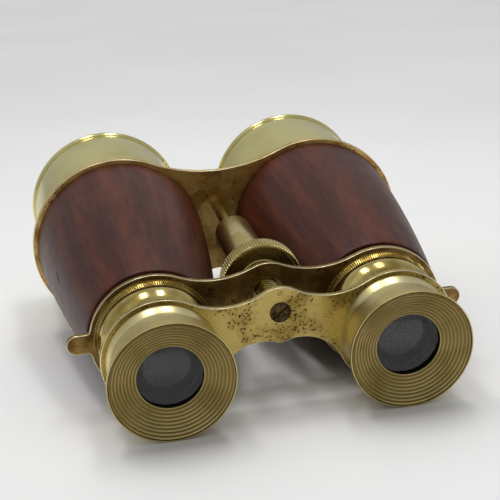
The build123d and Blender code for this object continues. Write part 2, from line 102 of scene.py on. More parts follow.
def srgb(hexText):  # sRGB hex to the linear colour that a socket takes
    parts = [int(hexText[i:i + 2], 16) / 255 for i in (0, 2, 4)]
    return [*(c / 12.92 if c <= 0.04045 else ((c + 0.055) / 1.055) ** 2.4 for c in parts), 1]


def add(tree, kind, inputs, **settings):  # one node, its settings, and its values or links
    node = tree.nodes.new("ShaderNode" + kind)
    for name, value in settings.items():
        setattr(node, name, value)
    for name, value in inputs.items():
        if isinstance(name, str):
            socket = next(s for s in node.inputs if s.name == name and s.enabled)
        else:
            socket = node.inputs[name]
        if isinstance(value, bpy.types.NodeSocket):
            tree.links.new(value, socket)
        else:
            socket.default_value = value
    return next(s for s in node.outputs if s.enabled)


def newMaterial(name):
    material = bpy.data.materials.new(name)
    material.use_nodes = True
    tree = material.node_tree
    shader = next(n for n in tree.nodes if n.type == "BSDF_PRINCIPLED")
    return material, tree, shader


def setShader(tree, shader, **values):  # underscores stand for the spaces in a socket's name
    for name, value in values.items():
        socket = shader.inputs[name.replace("_", " ")]
        if isinstance(value, bpy.types.NodeSocket):
            tree.links.new(value, socket)
        else:
            socket.default_value = value


def benchSpot(tree):  # place on the piece, in mm on the bench
    place = tree.nodes.new("ShaderNodeTexCoord").outputs["Object"]
    return add(tree, "Mapping", {
        "Vector": place, "Location": bench.translation,
        "Rotation": bench.to_euler(), "Scale": (mm, mm, mm),
    }, vector_type="TEXTURE")


def maths(tree, operation, *values):
    return add(tree, "Math", dict(enumerate(values)), operation=operation)


def aroundAxis(tree, spot, axisX, axisY):  # radius from the turning axis, mm, and height
    parts = tree.nodes.new("ShaderNodeSeparateXYZ")
    tree.links.new(spot, parts.inputs[0])
    offX = maths(tree, "SUBTRACT", maths(tree, "ABSOLUTE", parts.outputs["X"]), axisX)
    offY = maths(tree, "SUBTRACT", parts.outputs["Y"], axisY)
    square = maths(tree, "MULTIPLY_ADD", offX, offX, maths(tree, "MULTIPLY", offY, offY))
    return maths(tree, "SQRT", square), parts.outputs["Z"]


def ramp(tree, factor, stops):  # colour ramp from (position, hex) stops
    node = tree.nodes.new("ShaderNodeValToRGB")
    tree.links.new(factor, node.inputs[0])
    elements = node.color_ramp.elements
    while len(elements) < len(stops):
        elements.new(1)
    for element, (position, colour) in zip(elements, stops):
        element.position = position
        element.color = srgb(colour)
    return node.outputs["Color"]


def band(tree, value, low, high, toLow=0.0, toHigh=1.0):  # value clamped from one range to another
    return add(tree, "MapRange", {
        "Value": value, "From Min": low, "From Max": high, "To Min": toLow, "To Max": toHigh,
    }, interpolation_type="SMOOTHSTEP")


def blend(tree, factor, first, second):
    return add(tree, "Mix", {"Factor": factor, "A": first, "B": second}, data_type="RGBA")


axisOf = {"barrel": turnedSize("right_eyecup")[0], "focus": turnedSize("focus_wheel")[0]}


def brassFinish(name, look):
    material, tree, shader = newMaterial(name)
    spot = benchSpot(tree)
    cloud = add(tree, "TexNoise", {"Vector": spot, "Scale": 1 / look["cloud"], "Detail": 4})
    film = band(tree, cloud, *look["filmFrom"])  # the brown film lies in clouds
    colour = blend(tree, film, srgb(look["bright"]), srgb(look["film"]))
    grain = add(tree, "TexNoise", {"Vector": spot, "Scale": 1 / look["grain"], "Detail": 3})
    roughness = maths(tree, "MULTIPLY_ADD", film, look["rougher"], look["roughness"])
    roughness = maths(tree, "MULTIPLY_ADD", grain, look["grainRough"], roughness)
    height = maths(tree, "MULTIPLY", grain, look["grainHeight"])
    if "pitSize" in look:  # corrosion pits, thick in patches
        uneven = add(tree, "TexNoise", {"Vector": spot, "Scale": 2.2, "Detail": 2})
        cells = add(tree, "TexVoronoi", {
            "Vector": spot, "Scale": 1 / look["pitGap"], "Randomness": 1,
        })
        patch = add(tree, "TexNoise", {
            "Vector": spot, "Scale": 1 / look["pitPatch"], "Detail": 3,
        })
        reach = band(tree, patch, *look["pitFrom"], 0, look["pitSize"] / look["pitGap"])
        reach = maths(tree, "MULTIPLY", reach, band(tree, uneven, 0.3, 0.72, 0.25, 1.35))
        edge = maths(tree, "SUBTRACT", reach, cells)
        pit = band(tree, edge, 0, look["pitEdge"])
        stain = band(tree, edge, -look["stain"], 0.02)
        stain = maths(tree, "MULTIPLY", stain, look["stainDepth"])
        colour = blend(tree, stain, colour, srgb(look["stainColour"]))
        colour = blend(tree, pit, colour, srgb(look["pitColour"]))
        roughness = maths(tree, "MULTIPLY_ADD", pit, 0.35, roughness)
        height = maths(tree, "MULTIPLY_ADD", pit, -look["pitDepth"], height)
    if "turned" in look:  # lathe marks run round the axis
        radius, along = aroundAxis(tree, spot, *axisOf[look["turned"]])
        line = add(tree, "CombineXYZ", {"X": radius, "Y": along, "Z": 0.0})
        marks = add(tree, "TexNoise", {"Vector": line, "Scale": 1 / look["markPitch"], "Detail": 3})
        height = maths(tree, "MULTIPLY_ADD", marks, look["markHeight"], height)
        dull = band(tree, marks, 0.35, 0.65, 0, look["markDull"])
        colour = blend(tree, dull, colour, srgb(look["film"]))
    if "firstGroove" in look:  # the turned grooves are darker in their bottoms
        inwards = maths(tree, "SUBTRACT", look["firstGroove"], radius)
        count = maths(tree, "DIVIDE", inwards, look["groovePitch"])
        share = maths(tree, "FRACT", count)
        dirt = maths(tree, "MULTIPLY", band(tree, share, 0.1, 0.34), band(tree, share, 0.9, 0.62))
        dirt = maths(tree, "MULTIPLY", dirt, maths(tree, "GREATER_THAN", count, 0))
        dirt = maths(tree, "MULTIPLY", dirt, look["dirtDepth"])
        colour = blend(tree, dirt, colour, srgb(look["dirt"]))
        roughness = maths(tree, "MULTIPLY_ADD", dirt, 0.2, roughness)
    if "rubbed" in look:  # long rubbing marks from handling and polishing
        drawn = add(tree, "Mapping", {"Vector": spot, "Scale": look["rubbed"]})
        rubs = add(tree, "TexNoise", {"Vector": drawn, "Scale": 1.0, "Detail": 5})
        height = maths(tree, "MULTIPLY_ADD", rubs, look["rubHeight"], height)
        rough = band(tree, rubs, 0.35, 0.7, 0, look["rubRough"])
        roughness = maths(tree, "ADD", roughness, rough)
    bump = add(tree, "Bump", {"Height": height, "Distance": mm, "Strength": 1.0})
    setShader(
        tree, shader, Base_Color=colour, Metallic=1.0, Roughness=roughness, Normal=bump
    )
    return material


# Sliding bridge: cast and filed, golden, with brown corrosion pits in patches
castBrass = brassFinish("castBrass", {
    "bright": "B7A260", "film": "8C733A", "cloud": 9, "filmFrom": (0.42, 0.72),
    "grain": 0.5, "roughness": 0.22, "rougher": 0.1, "grainRough": 0.08, "grainHeight": 0.006,
    "pitGap": 0.95, "pitSize": 0.46, "pitPatch": 9, "pitFrom": (0.33, 0.58), "pitEdge": 0.2,
    "pitDepth": 0.03, "pitColour": "5C481F", "stain": 0.3, "stainDepth": 0.35,
    "stainColour": "8A7236", "rubbed": (0.25, 2.0, 2.0), "rubHeight": 0.004, "rubRough": 0.06,
})
# Eyepiece-end plate: the same casting gone brown, with faint rubbing marks across
brownedBrass = brassFinish("brownedBrass", {
    "bright": "A88A54", "film": "70542C", "cloud": 7, "filmFrom": (0.36, 0.66),
    "grain": 0.5, "roughness": 0.28, "rougher": 0.14, "grainRough": 0.1, "grainHeight": 0.006,
    "pitGap": 0.9, "pitSize": 0.36, "pitPatch": 6, "pitFrom": (0.42, 0.62), "pitEdge": 0.2,
    "pitDepth": 0.02, "pitColour": "3C2A14", "stain": 0.4, "stainDepth": 0.4,
    "stainColour": "5E4420", "rubbed": (0.3, 3.0, 3.0), "rubHeight": 0.006, "rubRough": 0.1,
})
# Objective-end plate: golden brown brass, lighter all over than the eyepiece-end plate; the lighter
# tone is partly painted highlight, for the golden highlight near the tubes
goldenBrass = brassFinish("goldenBrass", {
    "bright": "E2BE74", "film": "B08844", "cloud": 8, "filmFrom": (0.42, 0.68),
    "grain": 0.5, "roughness": 0.26, "rougher": 0.14, "grainRough": 0.1, "grainHeight": 0.006,
    "pitGap": 0.9, "pitSize": 0.36, "pitPatch": 6, "pitFrom": (0.46, 0.64), "pitEdge": 0.2,
    "pitDepth": 0.02, "pitColour": "3C2A14", "stain": 0.4, "stainDepth": 0.4,
    "stainColour": "6A4C22", "rubbed": (0.3, 3.0, 3.0), "rubHeight": 0.006, "rubRough": 0.1,
})
# Rubbed plate edges: the brass there is bare and bright
wornEdge = brassFinish("wornEdge", {
    "bright": "EADFB6", "film": "D2C08A", "cloud": 5, "filmFrom": (0.4, 0.75),
    "grain": 0.4, "roughness": 0.24, "rougher": 0.08, "grainRough": 0.1, "grainHeight": 0.004,
})
# Eyecup sides: pale satin brass that the hands keep clean, with very fine lathe rings
turnedBrass = brassFinish("turnedBrass", {
    "bright": "E4D8A4", "film": "CCBC80", "cloud": 12, "filmFrom": (0.42, 0.78),
    "grain": 0.6, "roughness": 0.29, "rougher": 0.06, "grainRough": 0.04, "grainHeight": 0.001,
    "turned": "barrel", "markPitch": 0.2, "markHeight": 0.0008, "markDull": 0.12,
})
# Collar domes: bright golden polish that shows small crisp lamp reflections
domeBrass = brassFinish("domeBrass", {
    "bright": "CDBB78", "film": "A08A48", "cloud": 8, "filmFrom": (0.38, 0.7),
    "grain": 0.6, "roughness": 0.12, "rougher": 0.07, "grainRough": 0.04, "grainHeight": 0.001,
    "turned": "barrel", "markPitch": 0.2, "markHeight": 0.0006, "markDull": 0.1,
})
# Painted shade: dark brown brass laid in the knurl valleys and coves of the collars, in the line
# inside the eyecup rims and round the bridge screw
knurlDirt = brassFinish("knurlDirt", {
    "bright": "7A5C2E", "film": "4A3618", "cloud": 3, "filmFrom": (0.35, 0.65),
    "grain": 0.3, "roughness": 0.4, "rougher": 0.15, "grainRough": 0.1, "grainHeight": 0.01,
})
# Eyecup faces: dull olive brass that the brow has darkened
faceBrass = brassFinish("faceBrass", {
    "bright": "C6B47A", "film": "AC9A5E", "cloud": 9, "filmFrom": (0.4, 0.75),
    "grain": 0.5, "roughness": 0.3, "rougher": 0.08, "grainRough": 0.08, "grainHeight": 0.005,
    "turned": "barrel", "markPitch": 0.14, "markHeight": 0.003, "markDull": 0.2,
    "firstGroove": 16.2, "groovePitch": 0.906, "dirt": "6E5A30", "dirtDepth": 0.75,
})
# Focus wheel and sleeve: as the turned brass, about the focus axis
wheelBrass = brassFinish("wheelBrass", {
    "bright": "D2C284", "film": "A99654", "cloud": 7, "filmFrom": (0.4, 0.75),
    "grain": 0.5, "roughness": 0.2, "rougher": 0.1, "grainRough": 0.08, "grainHeight": 0.004,
    "turned": "focus", "markPitch": 0.16, "markHeight": 0.003, "markDull": 0.3,
})
# Drawn and polished tube: pale and smooth, its film only a shade darker
polishedBrass = brassFinish("polishedBrass", {
    "bright": "DAD08E", "film": "C9BC76", "cloud": 20, "filmFrom": (0.4, 0.75),
    "grain": 0.8, "roughness": 0.16, "rougher": 0.05, "grainRough": 0.02, "grainHeight": 0.0005,
})
# Rolled sheet under the wood: dull brown brass
rolledBrass = brassFinish("rolledBrass", {
    "bright": "9C8648", "film": "6E5A2C", "cloud": 6, "filmFrom": (0.35, 0.65),
    "grain": 0.4, "roughness": 0.38, "rougher": 0.15, "grainRough": 0.12, "grainHeight": 0.012,
})
# Blued and oxidised screw heads: near black, clouded with brown
bluedSteel = brassFinish("bluedSteel", {
    "bright": "5E4E30", "film": "2E2820", "cloud": 1.4, "filmFrom": (0.35, 0.65),
    "grain": 0.25, "roughness": 0.32, "rougher": 0.15, "grainRough": 0.15, "grainHeight": 0.015,
})


def mattCoat(name, look):  # a thin dull coat, paint or felt, over whatever is under it
    material, tree, shader = newMaterial(name)
    spot = benchSpot(tree)
    cloud = add(tree, "TexNoise", {"Vector": spot, "Scale": 1 / look["cloud"], "Detail": 3})
    colour = ramp(tree, cloud, [(0.35, look["dark"]), (0.7, look["light"])])
    grit = add(tree, "TexNoise", {"Vector": spot, "Scale": 1 / look["grit"], "Detail": 2})
    roughness = maths(tree, "MULTIPLY_ADD", grit, look["uneven"], look["roughness"])
    bump = add(tree, "Bump", {
        "Height": maths(tree, "MULTIPLY", grit, look["gritHeight"]), "Distance": mm,
        "Strength": 1.0,
    })
    setShader(tree, shader, Base_Color=colour, Roughness=roughness, Normal=bump, IOR=look["ior"])
    shader.inputs["Sheen Weight"].default_value = look["sheen"]
    return material


# Optical black, brushed on inside the tubes: matt and slightly brown
blackPaint = mattCoat("blackPaint", {
    "dark": "070706", "light": "0D0C0A", "cloud": 8, "grit": 0.8, "roughness": 0.65,
    "uneven": 0.15, "gritHeight": 0.001, "ior": 1.3, "sheen": 0.0,
})
# Chemically blackened brass cells and rings: smoother than paint
blackenedBrass = mattCoat("blackenedBrass", {
    "dark": "17140F", "light": "2A241A", "cloud": 3, "grit": 0.3, "roughness": 0.3,
    "uneven": 0.25, "gritHeight": 0.008, "ior": 1.6, "sheen": 0.0,
})
# Dense black felt: fibres half a millimetre apart, with a soft sheen
blackFelt = mattCoat("blackFelt", {
    "dark": "0C0C0C", "light": "232120", "cloud": 1, "grit": 0.5, "roughness": 0.8,
    "uneven": 0.2, "gritHeight": 0.1, "ior": 1.45, "sheen": 0.5,
})


mahoganyLook = {
    "ring": 3.4,  # growth rings apart
    "ringBend": 2.6,
    "pore": 0.34,  # across a pore streak; real pores are finer
    "poreLength": 9.0,
    "light": "602E1A", "middle": "421E14", "dark": "2E130C",
    "poreColour": "1F0D0A", "crackColour": "0D0706",
    "roughness": 0.44, "lacquer": 0.15, "lacquerRough": 0.25, "ior": 1.45,
    "crackAt": (-50, 5.0, 72.4), "crackHalf": 3.1, "crackWidth": 0.4, "crackLean": -0.38,
}


def dryingCrack(tree, spot, look):  # one short split on the outer side of the left barrel
    parts = tree.nodes.new("ShaderNodeSeparateXYZ")
    tree.links.new(spot, parts.inputs[0])
    outside, y, z = look["crackAt"]
    along = maths(tree, "SUBTRACT", parts.outputs["Z"], z)
    middle = maths(tree, "MULTIPLY_ADD", along, look["crackLean"], y)
    away = maths(tree, "ABSOLUTE", maths(tree, "SUBTRACT", parts.outputs["Y"], middle))
    share = maths(tree, "DIVIDE", along, look["crackHalf"])
    width = maths(tree, "SUBTRACT", 1.0, maths(tree, "MULTIPLY", share, share))
    inside = maths(tree, "SUBTRACT", maths(tree, "MULTIPLY", width, look["crackWidth"]), away)
    onLeft = maths(tree, "LESS_THAN", parts.outputs["X"], outside)
    return maths(tree, "MULTIPLY", band(tree, inside, -0.03, 0.08), onLeft)


def mahogany(look):  # quarter-turned mahogany under worn lacquer: long dark pores, red streaks
    material, tree, shader = newMaterial("mahogany")
    spot = benchSpot(tree)
    drawn = add(tree, "Mapping", {"Vector": spot, "Scale": (1, 1, 0.07)})
    sway = add(tree, "TexNoise", {"Vector": drawn, "Scale": 0.12, "Detail": 3})
    figure = add(tree, "TexWave", {
        "Vector": drawn, "Scale": 1 / look["ring"] / 6.3, "Distortion": look["ringBend"],
        "Detail": 3, "Detail Scale": 0.8,
    }, wave_type="BANDS", bands_direction="DIAGONAL")
    streak = add(tree, "TexNoise", {"Vector": drawn, "Scale": 0.55, "Detail": 5})
    tone = maths(tree, "MULTIPLY_ADD", sway, 0.45, maths(tree, "MULTIPLY", streak, 0.45))
    tone = maths(tree, "MULTIPLY_ADD", figure, 0.12, tone)
    colour = ramp(tree, tone, [
        (0.28, look["dark"]), (0.48, look["middle"]), (0.74, look["light"]),
    ])
    poreSpot = add(tree, "Mapping", {
        "Vector": spot, "Scale": (1 / look["pore"], 1 / look["pore"], 1 / look["poreLength"]),
    })
    pores = add(tree, "TexNoise", {"Vector": poreSpot, "Scale": 1.0, "Detail": 2})
    pore = band(tree, pores, 0.6, 0.7)
    colour = blend(tree, maths(tree, "MULTIPLY", pore, 0.7), colour, srgb(look["poreColour"]))
    crack = dryingCrack(tree, spot, look)
    colour = blend(tree, crack, colour, srgb(look["crackColour"]))
    handled = add(tree, "TexNoise", {"Vector": spot, "Scale": 0.16, "Detail": 4})
    roughness = maths(tree, "MULTIPLY_ADD", handled, 0.2, look["roughness"] - 0.1)
    roughness = maths(tree, "MULTIPLY_ADD", crack, 0.5, roughness)
    height = maths(tree, "MULTIPLY", pore, -0.012)
    height = maths(tree, "MULTIPLY_ADD", streak, 0.02, height)
    height = maths(tree, "MULTIPLY_ADD", crack, -0.3, height)
    bump = add(tree, "Bump", {"Height": height, "Distance": mm, "Strength": 1.0})
    setShader(
        tree, shader, Base_Color=colour, Roughness=roughness, Normal=bump, IOR=look["ior"],
        Coat_Weight=look["lacquer"], Coat_Roughness=look["lacquerRough"], Coat_IOR=1.3,
    )
    shader.inputs["Specular IOR Level"].default_value = 0.2
    return material


mahoganyWood = mahogany(mahoganyLook)

# Polished lens glass: clear and uncoated, very slightly green
glassLook = {"tint": "E4EFE8", "haze": "DCEAE2", "cloud": 9, "ior": 1.52, "roughness": 0.005}


def lensGlass(look):
    material, tree, shader = newMaterial("opticalGlass")
    cloud = add(tree, "TexNoise", {
        "Vector": benchSpot(tree), "Scale": 1 / look["cloud"], "Detail": 2,
    })
    colour = ramp(tree, cloud, [(0.4, look["tint"]), (0.7, look["haze"])])
    setShader(
        tree, shader, Base_Color=colour, Roughness=look["roughness"], IOR=look["ior"],
        Transmission_Weight=1.0,
    )
    return material


opticalGlass = lensGlass(glassLook)
print("materials made")


# Modelling helpers

def deselectAll():
    if bpy.context.object and bpy.context.object.mode != "OBJECT":
        bpy.ops.object.mode_set(mode="OBJECT")
    bpy.ops.object.select_all(action="DESELECT")


def selectParts(piece, kind, test):  # leaves edit mode on, with only what passes the test selected
    bpy.ops.object.mode_set(mode="EDIT")
    bpy.ops.mesh.select_mode(type=kind)
    bpy.ops.mesh.select_all(action="DESELECT")
    bpy.ops.object.mode_set(mode="OBJECT")
    parts = {"VERT": piece.data.vertices, "FACE": piece.data.polygons}[kind]
    for part in parts:
        part.select = bool(test(part))
    bpy.ops.object.mode_set(mode="EDIT")


def smooth(angle=35):  # the active piece
    bpy.ops.object.mode_set(mode="OBJECT")
    bpy.ops.object.shade_smooth_by_angle(angle=radians(angle))


def layDown(piece):  # from the bench to the frame, with the place kept in the mesh
    piece.matrix_world = bench
    deselectAll()
    piece.select_set(True)
    bpy.context.view_layer.objects.active = piece
    bpy.ops.object.transform_apply(location=True, rotation=True, scale=True)


def standFor(piece, node, material):
    if not piece.data.materials:
        piece.data.materials.append(material)
    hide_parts(node)
    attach(piece, bodyOf[node])


def corners(profile, closed):  # places in the profile where it turns sharply
    found = []
    last = len(profile)
    for i in range(last):
        if not closed and i in (0, last - 1):
            continue
        before, here, after = (Vector(profile[j % last]) for j in (i - 1, i, i + 1))
        if (here - before).angle(after - here) > radians(28):
            found.append(i)
    return found


def lathe(name, axis, profile, steps, edge=0.0, closed=True):
    # profile is (radius, height) in mm; edge rounds its sharp corners
    deselectAll()
    firstR, firstZ = profile[0]
    bpy.ops.mesh.primitive_plane_add(
        size=mm, location=((axis[0] + firstR) * mm, axis[1] * mm, firstZ * mm)
    )
    piece = bpy.context.object
    piece.name = name
    piece.data.name = name
    bpy.ops.object.transform_apply(location=True, rotation=True, scale=True)
    bpy.ops.object.mode_set(mode="EDIT")
    bpy.ops.mesh.select_mode(type="VERT")
    bpy.ops.mesh.select_all(action="SELECT")
    bpy.ops.mesh.merge(type="CENTER")
    around = profile[1:] + profile[:1] if closed else profile[1:]
    here = profile[0]
    for there in around:
        step = ((there[0] - here[0]) * mm, 0, (there[1] - here[1]) * mm)
        bpy.ops.mesh.extrude_region_move(TRANSFORM_OT_translate={"value": step})
        here = there
    if closed:
        bpy.ops.mesh.select_all(action="SELECT")
        bpy.ops.mesh.remove_doubles(threshold=mm / 2000)
    if edge:
        sharp = set(corners(profile, closed))
        selectParts(piece, "VERT", lambda v: v.index in sharp)
        bpy.ops.mesh.bevel(
            offset=edge * mm, offset_type="OFFSET", segments=3, affect="VERTICES",
            clamp_overlap=True,
        )
    bpy.ops.mesh.select_all(action="SELECT")
    bpy.ops.mesh.spin(
        steps=steps, angle=2 * pi, center=(axis[0] * mm, axis[1] * mm, 0), axis=(0, 0, 1)
    )
    bpy.ops.mesh.select_all(action="SELECT")
    bpy.ops.mesh.remove_doubles(threshold=mm / 2000)
    bpy.ops.mesh.normals_make_consistent(inside=False)
    bpy.ops.object.mode_set(mode="OBJECT")
    return piece


def fromAxis(spot, axis):  # a bench place's distance from an axis, mm
    return hypot(spot.x / mm - axis[0], spot.y / mm - axis[1])


def paintFaces(piece, material, test):  # test takes a face's middle and its normal
    piece.data.materials.append(material)
    selectParts(piece, "FACE", lambda f: test(f.center, f.normal))
    piece.active_material_index = len(piece.data.materials) - 1
    bpy.ops.object.material_slot_assign()
    bpy.ops.object.mode_set(mode="OBJECT")


def knurl(piece, axis, radii, heights, ridges, columns, depth):
    # half of each ridge's columns are pressed in towards the axis, on a cylinder or a cone
    steps = ridges * columns
    (radius, topR), (low, high) = radii, heights
    endSlack, skinSlack = 0.02, 0.06  # share of the height, and mm

    def inValley(vertex):
        spot = vertex.co
        share = (spot.z / mm - low) / (high - low)
        skin = radius + (topR - radius) * share
        if not -endSlack < share < 1 + endSlack or abs(fromAxis(spot, axis) - skin) > skinSlack:
            return False
        angle = atan2(spot.y / mm - axis[1], spot.x / mm - axis[0])
        return round(angle / (2 * pi) * steps) % columns >= columns / 2

    selectParts(piece, "VERT", inValley)
    shrink = (radius - depth) / radius
    bpy.ops.transform.resize(
        value=(shrink, shrink, 1), center_override=(axis[0] * mm, axis[1] * mm, 0)
    )
    bpy.ops.object.mode_set(mode="OBJECT")


def risingArc(start, end, count):  # leaves start upright and bends over to end
    across, up = end[0] - start[0], end[1] - start[1]
    radius = (across ** 2 + up ** 2) / (2 * across)
    reach = asin(up / abs(radius))
    turns = [reach * i / count for i in range(count + 1)]
    return [(start[0] + radius * (1 - cos(t)), start[1] + abs(radius) * sin(t)) for t in turns]


def easedStep(start, end, count):  # an S that is upright at both ends, without its last place
    shares = [i / count for i in range(count)]
    return [
        (start[0] + (end[0] - start[0]) * t * t * (3 - 2 * t),
         start[1] + (end[1] - start[1]) * t)
        for t in shares
    ]


def bowed(start, end, bow, count):  # a shallow curve that stands off its chord at the middle
    shares = [i / count for i in range(count + 1)]
    return [
        (start[0] + (end[0] - start[0]) * t + 4 * bow * t * (1 - t),
         start[1] + (end[1] - start[1]) * t)
        for t in shares
    ]


def lensFace(curve, radius, vertexZ, count=24):  # from the axis out; a negative curve dips down
    shares = [radius * i / count for i in range(count + 1)]
    sign = 1 if curve > 0 else -1
    return [(r, vertexZ + sign * (abs(curve) - sqrt(curve ** 2 - r ** 2))) for r in shares]


def copyNode(name, node):  # a merged copy of a CAD node, to work on
    piece = bpy.data.objects.new(name, nodes[node].data.copy())
    bpy.context.scene.collection.objects.link(piece)
    piece.data.name = name
    piece.data.materials.clear()
    deselectAll()
    piece.select_set(True)
    bpy.context.view_layer.objects.active = piece
    bpy.ops.object.mode_set(mode="EDIT")
    bpy.ops.mesh.select_all(action="SELECT")
    bpy.ops.mesh.remove_doubles(threshold=mm / 500)
    bpy.ops.mesh.select_all(action="SELECT")
    bpy.ops.mesh.dissolve_limited(angle_limit=radians(0.5))
    bpy.ops.object.mode_set(mode="OBJECT")
    return piece


# Eyecups: swelling foot, waist and flare outside, grooved dish round the eye hole
eyecupLook = {
    "baseR": 15.5, "waistR": 14.6, "waistHeight": 3.6, "spigotR": 12.38, "spigotBore": 10.9,
    "rimBand": 0.8, "lip": 0.3, "dish": 3.1, "holeR": 8.77, "holeDepth": 1.5, "seatR": 9.8,
    "seatDepth": 4.56, "lineR": 16.56, "lineWidth": 0.26, "lineDepth": 0.3,  # line inside the rim
    "grooves": 8, "pitch": 0.906, "grooveDepth": 0.3, "firstGroove": 16.2,
    "grooveShape": ((0, 0), (0.14, 0.6), (0.34, 1), (0.58, 1), (0.78, 0.6), (0.9, 0)),
    "outsideSteps": 12, "edge": 0.06, "steps": 224,  # groove: shares of its pitch and depth
}


def eyecup(side, look):
    node = side + "_eyecup"
    axis, rimR, foot, top = turnedSize(node)
    base = benchBox("eyepiece_bridge")[1].z
    lipR = rimR - look["lip"]
    slope = look["dish"] / (lipR - look["holeR"])

    def dishAt(radius, below=0.0):
        return radius, top - (lipR - radius) * slope - below

    line, inner = look["lineR"], look["lineR"] - look["lineWidth"]
    face = [
        (lipR, top), dishAt(line), dishAt(line - 0.04, look["lineDepth"]),
        dishAt(inner + 0.04, look["lineDepth"]), dishAt(inner),
    ]
    for i in range(look["grooves"]):
        start = look["firstGroove"] - i * look["pitch"]
        for share, below in look["grooveShape"]:
            face.append(dishAt(start - share * look["pitch"], below * look["grooveDepth"]))
    holeTop = top - look["dish"]
    seat = holeTop - look["holeDepth"]
    waist = (look["waistR"], base + look["waistHeight"])
    bandZ = top - look["rimBand"]
    blackZ = holeTop - 0.6  # the black starts inside the eye hole
    profile = [
        (look["spigotBore"], foot), (look["spigotR"], foot), (look["spigotR"], base),
        *easedStep((look["baseR"], base), waist, look["outsideSteps"]),
        *risingArc(waist, (rimR, bandZ), look["outsideSteps"]), (rimR, top), *face,
        (look["holeR"] + 0.1, holeTop), (look["holeR"], holeTop - 0.15),
        (look["holeR"], seat), (look["seatR"], seat), (look["seatR"], seat - look["seatDepth"]),
        (look["spigotBore"], seat - look["seatDepth"]),
    ]
    piece = lathe(side + "Eyecup", axis, profile, look["steps"], look["edge"])
    piece.data.materials.append(turnedBrass)
    paintFaces(piece, faceBrass, lambda spot, normal:
        spot.z / mm > bandZ
        or spot.z / mm > blackZ and fromAxis(spot, axis) < rimR - 0.03 and normal.z > 0.1)
    # painted shade: the line inside the rim is painted dark brown
    paintFaces(piece, knurlDirt, lambda spot, normal:  # the line inside the rim
        spot.z / mm > top - 0.9 and inner - 0.02 < fromAxis(spot, axis) < line + 0.02)
    paintFaces(piece, blackPaint, lambda spot, normal:
        spot.z / mm < blackZ and fromAxis(spot, axis) < look["spigotBore"] + 0.1)
    smooth()
    layDown(piece)
    standFor(piece, node, turnedBrass)


# Collars: knurled cone, cove and polished dome; the knurl valleys and the cove carry painted shade
collarLook = {
    "bore": 13.28, "bushR": 14.2, "band": 0.25, "coneTopR": 15.95, "coveR": 15.5, "domeR": 16.0,
    "noseR": 13.9, "coveHeight": 1.2, "flangeHeight": 2.2,
    "sealR": 14.0, "sealBelow": 2.2, "sealHeight": 1.8,
    "ridges": 168, "columns": 4, "ridgeDepth": 0.28, "ease": 0.1, "domeSteps": 20, "edge": 0.07,
}


def collar(side, look):
    node = side + "_collar"
    axis, flangeR, foot, top = turnedSize(node)
    flangeZ = benchBox("eyepiece_end_plate")[1].z
    flangeTop = flangeZ + look["flangeHeight"]
    coneLow, coneHigh = flangeZ + look["band"], flangeTop - look["ease"]
    domeZ = flangeTop + look["coveHeight"]
    sealTop = top - look["sealBelow"]
    profile = [
        (look["bore"], foot), (look["bushR"], foot), (look["bushR"], flangeZ),
        (flangeR, flangeZ), (flangeR, coneLow), (look["coneTopR"], coneHigh),
        (look["coneTopR"] - look["ease"], flangeTop), (look["coveR"], flangeTop + look["ease"]),
        (look["coveR"], domeZ - 1.5 * look["ease"]),
        *risingArc((look["domeR"], domeZ), (look["noseR"], top), look["domeSteps"]),
        (look["bore"], top), (look["bore"], sealTop), (look["sealR"], sealTop),
        (look["sealR"], sealTop - look["sealHeight"]), (look["bore"], sealTop - look["sealHeight"]),
    ]
    piece = lathe(side + "Collar", axis, profile, look["ridges"] * look["columns"], look["edge"])
    knurl(
        piece, axis, (flangeR, look["coneTopR"]), (coneLow, coneHigh),
        look["ridges"], look["columns"], look["ridgeDepth"],
    )
    piece.data.materials.append(domeBrass)

    def valleyOrCove(spot, normal):
        height, radius = spot.z / mm, fromAxis(spot, axis)
        if flangeTop - 0.06 < height < domeZ - 0.05:
            return radius > look["coveR"] - 0.1
        share = (height - coneLow) / (coneHigh - coneLow)
        skin = flangeR + (look["coneTopR"] - flangeR) * share
        return 0 < share < 1 and look["coveR"] - 0.4 < radius < skin - look["ridgeDepth"] * 0.7

    # painted shade: dark brass in the knurl valleys and in the cove under the dome
    paintFaces(piece, knurlDirt, valleyOrCove)
    smooth(30)
    layDown(piece)
    standFor(piece, node, domeBrass)


# Draw tubes: thin polished tube, black inside
drawTubeLook = {"bore": 12.4, "edge": 0.1, "steps": 160}


def drawTube(side, look):
    node = side + "_draw_tube"
    axis, radius, foot, top = turnedSize(node)
    profile = [(look["bore"], foot), (radius, foot), (radius, top), (look["bore"], top)]
    piece = lathe(side + "DrawTube", axis, profile, look["steps"], look["edge"])
    piece.data.materials.append(polishedBrass)
    paintFaces(piece, blackPaint, lambda spot, normal: fromAxis(spot, axis) < look["bore"] + 0.05)
    smooth()
    layDown(piece)
    standFor(piece, node, polishedBrass)


# Objective tubes: rolled bead at the rim, cap bore, black behind the cell
objectiveTubeLook = {
    "tubeR": 24.5, "bore": 23.7, "beadHeight": 2.2, "beadSteps": 14, "rimChamfer": 0.2,
    "edge": 0.1, "steps": 256,
}


def objectiveTube(side, look):
    node = side + "_objective_tube"
    axis, beadR, foot, top = turnedSize(node)
    cap = mounts[side + "_cap_bore"]["dims"]
    capR, capDepth = cap["r_mm"], cap["length_mm"]
    swell = beadR - look["tubeR"]
    chamfer = look["rimChamfer"]
    bead = bowed(
        (look["tubeR"], foot), (look["tubeR"], look["beadHeight"]), swell, look["beadSteps"]
    )
    profile = [
        (look["bore"], top), (look["bore"], capDepth), (capR, capDepth), (capR, foot + chamfer),
        (capR + chamfer, foot), *bead, (look["tubeR"], top),
    ]
    piece = lathe(side + "ObjectiveTube", axis, profile, look["steps"], look["edge"])
    piece.data.materials.append(polishedBrass)
    paintFaces(piece, blackPaint, lambda spot, normal:
        fromAxis(spot, axis) < look["bore"] + 0.05 and spot.z / mm > capDepth + 0.2)
    smooth()
    layDown(piece)
    standFor(piece, node, polishedBrass)


